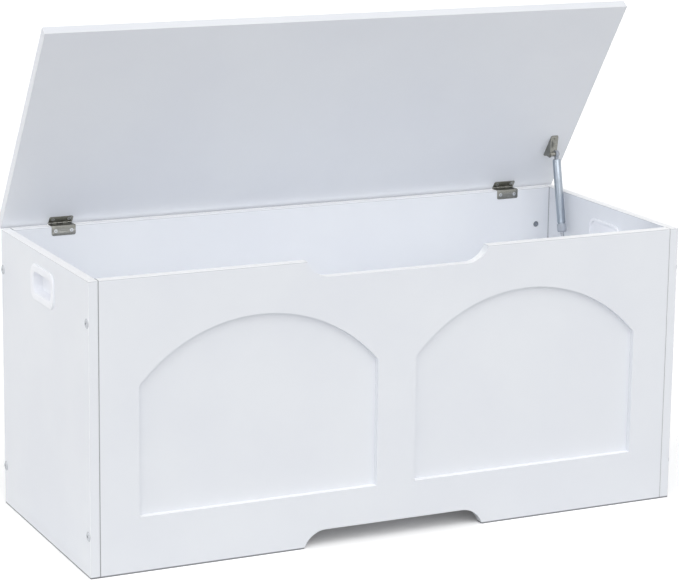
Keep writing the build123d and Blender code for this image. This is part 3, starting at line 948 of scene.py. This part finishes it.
@dataclass
class Fasteners:
    """The bolts through the side panels and the cross nuts that they draw on.

    The steps give the radius and the level of each outline, from the middle of the head to the far
    end, and for the nut's slot its length, width, corner radius and level.
    """

    chest: Chest
    inset: float = 64.0
    nut_inset: float = 25.0
    nut_turn: Triple = (0.8, 0.0, 0.6)
    nut_sides: int = 36
    hexagon: tuple[int, int] = (6, 7)
    socket_steps: Profile = ((2.1, 0.6), (2.1, 1.68), (2.25, 1.8))
    bolt_steps: Profile = (
        (4.2, 1.746), (6.0, 1.368), (6.975, 0.828), (7.5, 0.216), (7.5, 0.0), (3.0, -0.05),
        (3.0, -48.0),
    )
    slot_steps: tuple[tuple[float, float, float, float], ...] = (
        (7.0, 1.3, 0.4, -1.1), (7.0, 1.3, 0.4, -0.15), (7.3, 1.6, 0.5, -0.05),
    )
    nut_steps: Profile = ((4.5, -0.08), (5.0, -0.5), (5.0, -12.0))

    def build(self, bolt: Material, nut: Material) -> None:
        """Shape the bolts of each side and the nuts of each wall.

        Args:
            bolt: the finish of the bolts.
            nut: the finish of the nuts.
        """
        chest = self.chest
        inner_faces = (chest.front + chest.board, chest.back - chest.board)
        bolt_rows = (chest.front + chest.board / 2, chest.back - chest.board / 2)
        heights = (self.inset, chest.top - self.inset)
        nut_place = chest.side - chest.board - self.nut_inset
        for side in Side:
            sign = side.value
            spots = [(sign * chest.side, y, z) for y in bolt_rows for z in heights]
            bolts = Shaper()
            socket = [bolts.circle(*step, *self.hexagon) for step in self.socket_steps]
            bolts.skin(socket + [bolts.circle(*step) for step in self.bolt_steps])
            places = [placed(spot, (0.0, sign, 0.0), (sign, 0.0, 0.0)) for spot in spots]
            home = Home(Body.BOX, Slot.ZINC, bolt, (f"{side.label}_side_bolts",))
            bolts.finish(f"bolts_{side.label}", home, places)
        for wall, face, out in zip(("front", "back"), inner_faces, (1.0, -1.0)):
            spots = [(side.value * nut_place, face, z) for side in Side for z in heights]
            nuts = Shaper()
            slot = [nuts.ring(*step) for step in self.slot_steps]
            nuts.skin(slot + [nuts.circle(*step, self.nut_sides) for step in self.nut_steps])
            places = [placed(spot, self.nut_turn, (0.0, out, 0.0)) for spot in spots]
            home = Home(Body.BOX, Slot.ZINC, nut, (f"{wall}_barrel_nuts",))
            nuts.finish(f"cross_nuts_{wall}", home, places)


@dataclass
class Hinge:
    """One butt hinge: a leaf folded over the back panel, a leaf under the lid, and a pin.

    The pin's end gives shares of its radius and the distance of each point from the end.
    """

    side: Side
    chest: Chest
    middle: float = 401.5
    width: float = 40.0
    columns: int = 5
    gap: float = 0.2
    corner: float = 3.0
    corner_steps: int = 6
    drop: float = 15.0
    fold: float = 0.7
    fold_bow: float = 0.3
    lid_length: float = 12.0
    leaf_gap: float = 0.3
    barrel: float = 2.0
    box_roll: float = radians(270.0)
    lid_roll: float = radians(310.0)
    roll_steps: int = 24
    thickness: float = 0.8
    ease: float = 0.18
    ease_steps: int = 2
    sharp: float = radians(40.0)
    pin: float = 1.1
    pin_end: Profile = ((0.0, 0.0), (0.6, 0.0), (0.9, 0.3), (1.0, 0.7))

    @property
    def web(self) -> float:
        """The level of the box leaf's web, above the hinge axis."""
        return self.chest.top + self.thickness / 2 - self.chest.axis[1]

    @property
    def lid_level(self) -> float:
        """The level of the lid leaf, above the hinge axis of the closed lid."""
        return self.web + self.thickness + self.leaf_gap

    def build(self, leaf: Material, pin: Material) -> None:
        """Shape the leaves and the pin.

        Args:
            leaf: the finish of the leaves.
            pin: the finish of the pin.
        """
        chest = self.chest
        label = self.side.label
        half = self.width / 2
        middle = self.side.value * self.middle
        roll = self.barrel - self.thickness / 2

        flap = -chest.behind - chest.board - self.thickness / 2
        bow = self.fold_bow * self.fold
        box_path = (
            (flap, self.web - self.thickness / 2 - self.drop),
            (flap, self.web - self.fold),
            (flap + bow, self.web - bow),
            (flap + self.fold, self.web),
            (-chest.behind, self.web),
        )
        box_reach = (0.0, self.web)
        free_edge = -chest.behind - self.lid_length
        lid_path = ((free_edge, self.lid_level), (-chest.behind, self.lid_level))
        lid_reach = (-((roll**2 - self.lid_level**2) ** 0.5), self.lid_level)
        for body, name, node, place, first, fold in (
            (Body.BOX, "fixed", "box", chest.at_axis, 0, (box_path, box_reach, self.box_roll)),
            (Body.LID, "lid", "lid", chest.on_lid, 1, (lid_path, lid_reach, self.lid_roll)),
        ):
            sheet = self._leaf(*fold, range(first, self.columns, 2))
            home = Home(body, Slot.HINGE, leaf, (f"{label}_hinge_{node}_leaf",))
            places = [place(middle - half)]
            self._thicken(sheet.finish(f"hinge_{label}_{name}_leaf", home, places))

        rod = Shaper()
        end = [(share * self.pin, step - half) for share, step in self.pin_end]
        rod.turn(end + [(radius, -level) for radius, level in reversed(end)])
        home = Home(Body.BOX, Slot.HINGE, pin, (f"{label}_hinge_pin",))
        places = [placed((middle, *chest.axis), (0.0, 1.0, 0.0), (1.0, 0.0, 0.0))]
        rod.finish(f"hinge_{label}_peened_pin", home, places)

    def _thicken(self, piece: bpy.types.Object) -> None:
        """Give a leaf its thickness and its eased edges, as modifiers.

        Args:
            piece: the leaf.
        """
        wall = piece.modifiers.new("wall", "SOLIDIFY")
        wall.thickness = self.thickness * MM
        wall.offset = 0.0
        eased = piece.modifiers.new("eased", "BEVEL")
        eased.width = self.ease * MM
        eased.segments = self.ease_steps
        eased.limit_method = "ANGLE"
        eased.angle_limit = self.sharp

    def _leaf(self, path: Profile, reach: Pair, angle: float, rolled: Sequence[int]) -> Shaper:
        """Fold one leaf as a sheet, column by column, and roll its knuckles.

        Args:
            path: the fold's points across the axis, from the free edge to where the knuckles start.
            reach: where a knuckle's roll starts.
            angle: how far the roll goes round the axis.
            rolled: the columns that have a knuckle.

        Returns:
            The leaf.
        """
        shaper = Shaper()
        form = shaper.form
        pitch = self.width / self.columns
        for column in range(self.columns):
            start = column * pitch
            points, chain = shaper.line((start, *point) for point in path)
            if column in rolled:
                tip = form.verts.new((start, *reach))
                chain.append(form.edges.new((points[-1], tip)))
                before = set(form.edges)
                bmesh.ops.spin(
                    form, geom=[tip], cent=(start, 0.0, 0.0), axis=(1.0, 0.0, 0.0),
                    angle=angle, steps=self.roll_steps,
                )
                chain += [edge for edge in form.edges if edge not in before]
            far = only_verts(bmesh.ops.extrude_edge_only(form, edges=chain)["geom"])
            bmesh.ops.translate(form, vec=(pitch, 0.0, 0.0), verts=far)
            knuckle = [
                vert for vert in form.verts
                if vert.co.y > path[-1][0] + MERGE_GAP
                and start - MERGE_GAP < vert.co.x < start + pitch + MERGE_GAP
            ]
            trim = 1.0 - self.gap / pitch
            centre = Matrix.Translation((-start - pitch / 2, 0.0, 0.0))
            bmesh.ops.scale(form, vec=(trim, 1.0, 1.0), space=centre, verts=knuckle)
        bmesh.ops.remove_doubles(form, verts=form.verts, dist=MERGE_GAP)
        free = [
            vert for vert in form.verts
            if (vert.co.yz - Vector(path[0])).length < MERGE_GAP
            and min(vert.co.x, self.width - vert.co.x) < MERGE_GAP
        ]
        shaper.round_corners(free, self.corner, self.corner_steps)
        return shaper


@dataclass
class HingeScrews:
    """The screws of both hinges, in the back panel and in the lid."""

    hinges: tuple[Hinge, ...]
    spread: float = 13.25
    screw: Screw = Screw(head=2.9, depth=1.6, shank=1.4, length=12.0, crown=0.2)

    def build(self, material: Material) -> None:
        """Shape the screws of each board.

        Args:
            material: the screws' finish.
        """
        in_box = []
        in_lid = []
        for hinge in self.hinges:
            chest = hinge.chest
            wall = chest.back - chest.board - hinge.thickness
            height = chest.top - hinge.drop / 2
            inset = -chest.behind - hinge.lid_length / 2
            level = hinge.lid_level - hinge.thickness / 2
            for end in (-1, 1):
                x = hinge.side.value * hinge.middle + end * self.spread
                in_box.append(placed((x, wall, height), (1, 0, 0), (0, -1, 0)))
                in_lid.append(chest.on_lid() @ placed((x, inset, level), (1, 0, 0), (0, 0, -1)))
        for name, body, node, places in (
            ("hinge_wall_screws", Body.BOX, "hinge_box_screws", in_box),
            ("hinge_cover_screws", Body.LID, "hinge_lid_screws", in_lid),
        ):
            screws = Shaper()
            self.screw.shape(screws)
            screws.finish(name, Home(body, Slot.HINGE, material, (node,)), places)


@dataclass
class Stay:
    """The lid stay: a painted tube with a collar, and the rod that slides in it.

    Each end of a profile gives the points' radius beside the piece's own, and their distance from
    that end down the stay.
    """

    tube: float = 7.0
    tube_top: Profile = (
        (-7.0, 0.6), (-3.4, 0.6), (-2.6, 0.15), (-1.6, 0.0), (-0.7, 0.35), (-0.2, 1.1), (0.0, 2.2),
    )
    tube_end: Profile = ((0.0, -1.6), (-0.2, -0.8), (-0.9, -0.3), (-0.9, 2.2), (-7.0, 2.2))
    neck_length: float = 0.9
    collar: float = 7.8
    collar_top: Profile = ((-4.4, 0.3), (-1.1, 0.0), (-0.4, 0.1), (-0.1, 0.45), (0.0, 1.1))
    collar_end: Profile = (
        (0.0, -2.9), (-0.15, -1.8), (-0.6, -0.9), (-1.3, -0.3), (-2.2, 0.0), (-3.9, 0.0),
        (-4.4, -0.5), (-4.6, -1.4),
    )
    collar_bore: Profile = ((-4.6, 1.3),)
    rod: float = 3.0
    rod_top: Profile = ((-3.0, 0.0), (-0.4, 0.0), (0.0, 0.4))
    rod_end: Profile = ((0.0, -0.4), (-0.4, 0.0), (-3.0, 0.0))
    steps: int = 64

    def build(self, coat: Material, collar: Material, rod: Material) -> None:
        """Turn the three round pieces.

        Args:
            coat: the tube's finish.
            collar: the collar's finish.
            rod: the rod's finish.
        """
        pivot = Vector(joint("strut_swing")["pos_m"]) / MM
        along = Vector(joint("strut_slide")["axis"])
        spans = []
        for node in ("strut_tube", "strut_collar", "strut_rod"):
            verts = frame["nodes"][node].data.vertices
            reach = [along.dot(vert.co / MM - pivot) for vert in verts]
            spans.append((min(reach), max(reach)))
        (top, bottom), (_, guard_end), (rod_top, rod_end) = spans
        guard = bottom + self.neck_length
        tube_ends = ((top, self.tube_top), (bottom, self.tube_end))
        collar_ends = (
            (guard, self.collar_top), (guard_end, self.collar_end), (guard, self.collar_bore),
        )
        rod_ends = ((rod_top, self.rod_top), (rod_end, self.rod_end))
        for part, radius, ends, body, slot, material in (
            ("tube", self.tube, tube_ends, Body.BARREL, Slot.STRUT, coat),
            ("collar", self.collar, collar_ends, Body.BARREL, Slot.STRUT_PLASTIC, collar),
            ("rod", self.rod, rod_ends, Body.ROD, Slot.ROD, rod),
        ):
            profile = [(radius + grow, end + step) for end, points in ends for grow, step in points]
            shaper = Shaper()
            shaper.turn(profile, self.steps)
            home = Home(body, slot, material, (f"strut_{part}",))
            shaper.finish(f"stay_{part}", home, [placed(pivot, (1.0, 0.0, 0.0), along)])


@dataclass(frozen=True)
class Lamp:
    """A soft light: a wide glow from far off, or a panel that the camera doesn't see."""

    name: str
    place: Triple
    power: float
    aim: Triple = (0.0, 0.0, 0.0)
    size: Optional[Pair] = None
    glow: float = 1.2

    def hang(self) -> None:
        """Put the light in the scene."""
        data = bpy.data.lights.new(self.name, "AREA" if self.size else "SUN")
        data.energy = self.power
        lamp = bpy.data.objects.new(self.name, data)
        if self.size:
            data.shape = "RECTANGLE"
            data.size, data.size_y = self.size
            lamp.visible_camera = False
        else:
            data.angle = self.glow
        look = (Vector(self.aim) - Vector(self.place)).to_track_quat("-Z", "Y")
        lamp.matrix_world = Matrix.Translation(self.place) @ look.to_matrix().to_4x4()
        bpy.context.scene.collection.objects.link(lamp)


@dataclass
class Studio:
    """The camera, the floor and the soft light."""

    place: Triple = (-1.7062, -3.5615, 1.2698)
    azimuth: float = 0.4465
    elevation: float = 0.2136
    roll: float = 0.0122
    lens: float = 134.57
    sensor: float = 36.0
    shift: float = -42 / PHOTO_WIDTH
    sight: float = 200.0
    floor_half: float = 40.0
    floor_colour: Colour = (1.2, 1.2, 1.2)
    floor_bounce: Colour = (0.7, 0.7, 0.7)
    floor_lift: float = 0.06
    ambient: float = 0.525
    lamps: tuple[Lamp, ...] = (
        Lamp("front_wall", (-0.15, -0.7, 0.7), 1.38),
        Lamp("side_wall", (-0.9, 0.12, 0.4), 0.7),
        Lamp("inside_strip", (0.0, -0.12, 0.36), 0.33, aim=(0.0, 0.18, 0.46), size=(0.9, 0.08)),
    )

    def build(self) -> None:
        """Make the camera, the light and the floor."""
        self._camera()
        self._world()
        for lamp in self.lamps:
            lamp.hang()
        self._floor()
        bpy.context.scene.view_settings.view_transform = "Standard"

    def _camera(self) -> None:
        """Stand the camera where the photograph was taken from."""
        data = bpy.data.cameras.new("camera")
        data.lens = self.lens
        data.sensor_fit = "HORIZONTAL"
        data.sensor_width = self.sensor
        data.shift_y = self.shift
        data.clip_end = self.sight
        camera = bpy.data.objects.new("camera", data)
        turn = (
            Matrix.Rotation(-self.azimuth, 4, "Z")
            @ Matrix.Rotation(pi / 2 - self.elevation, 4, "X")
            @ Matrix.Rotation(self.roll, 4, "Z")
        )
        camera.matrix_world = Matrix.Translation(self.place) @ turn
        bpy.context.scene.collection.objects.link(camera)
        bpy.context.scene.camera = camera

    @staticmethod
    def _seen(graph: Graph) -> Socket:
        """Return a mask of the rays that look at the background.

        Args:
            graph: the tree that the mask is used in.

        Returns:
            The mask of camera, glossy and transmission rays.
        """
        path = graph.add("ShaderNodeLightPath").outputs
        mirrored = graph.math("MAXIMUM", path["Is Glossy Ray"], path["Is Transmission Ray"])
        return graph.math("MAXIMUM", path["Is Camera Ray"], mirrored)

    def _world(self) -> None:
        """Light from all round, with a plain white background behind it."""
        world = bpy.data.worlds.new("studio")
        world.use_nodes = True
        bpy.context.scene.world = world
        graph = Graph(world.node_tree)
        background = world.node_tree.nodes["Background"]
        background.inputs["Color"].default_value = (1.0, 1.0, 1.0, 1.0)
        strength = graph.spread(self._seen(graph), self.ambient, 1.0)
        graph.feed(background.inputs["Strength"], strength)

    def _floor(self) -> None:
        """Lay a pale floor that keeps the shadow and goes to white away from it."""
        mesh = bpy.data.meshes.new("floor")
        sheet = bmesh.new()
        bmesh.ops.create_grid(sheet, x_segments=1, y_segments=1, size=self.floor_half)
        sheet.to_mesh(mesh)
        sheet.free()
        material = bpy.data.materials.new("pale_floor")
        material.use_nodes = True
        graph = Graph(material.node_tree)
        graph.tree.nodes.remove(graph.tree.nodes["Principled BSDF"])
        seen = self._seen(graph)
        colour = graph.blend(seen, self.floor_bounce, self.floor_colour)
        matt = graph.add("ShaderNodeBsdfDiffuse", {"Color": colour})
        glow = graph.add("ShaderNodeEmission", {"Strength": graph.times(seen, self.floor_lift)})
        both = graph.add("ShaderNodeAddShader", {0: matt.outputs[0], 1: glow.outputs[0]})
        graph.feed(graph.tree.nodes["Material Output"].inputs["Surface"], both.outputs[0])
        mesh.materials.append(material)
        floor = bpy.data.objects.new("floor", mesh)
        bpy.context.scene.collection.objects.link(floor)


def main() -> None:
    """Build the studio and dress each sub-assembly."""
    logging.basicConfig(level=logging.INFO, format="%(name)s: %(message)s")
    effects = Effects()
    palette = Palette()
    chest = Chest.measure()
    Studio().build()

    chest.dress(effects)
    finishes = palette.by_slot(effects)
    for row in frame["record"]["subparts"]:
        slot = Slot(row["material_slot"])
        if slot in finishes:
            paint(row["node"], finishes[slot])

    hinges = tuple(Hinge(side, chest) for side in Side)
    for hinge in hinges:
        hinge.build(finishes[Slot.HINGE], finishes[Slot.ZINC])
    HingeScrews(hinges).build(finishes[Slot.ZINC])
    for side in Side:
        Handle(side, chest).build(finishes[Slot.HANDLE])
    bolt = palette.bolt.make("bolt_plate", effects)
    nut = palette.nut.make("nut_plate", effects)
    Fasteners(chest).build(bolt, nut)
    Stay().build(finishes[Slot.STRUT], finishes[Slot.STRUT_PLASTIC], finishes[Slot.ROD])


if __name__ == "__main__":
    main()
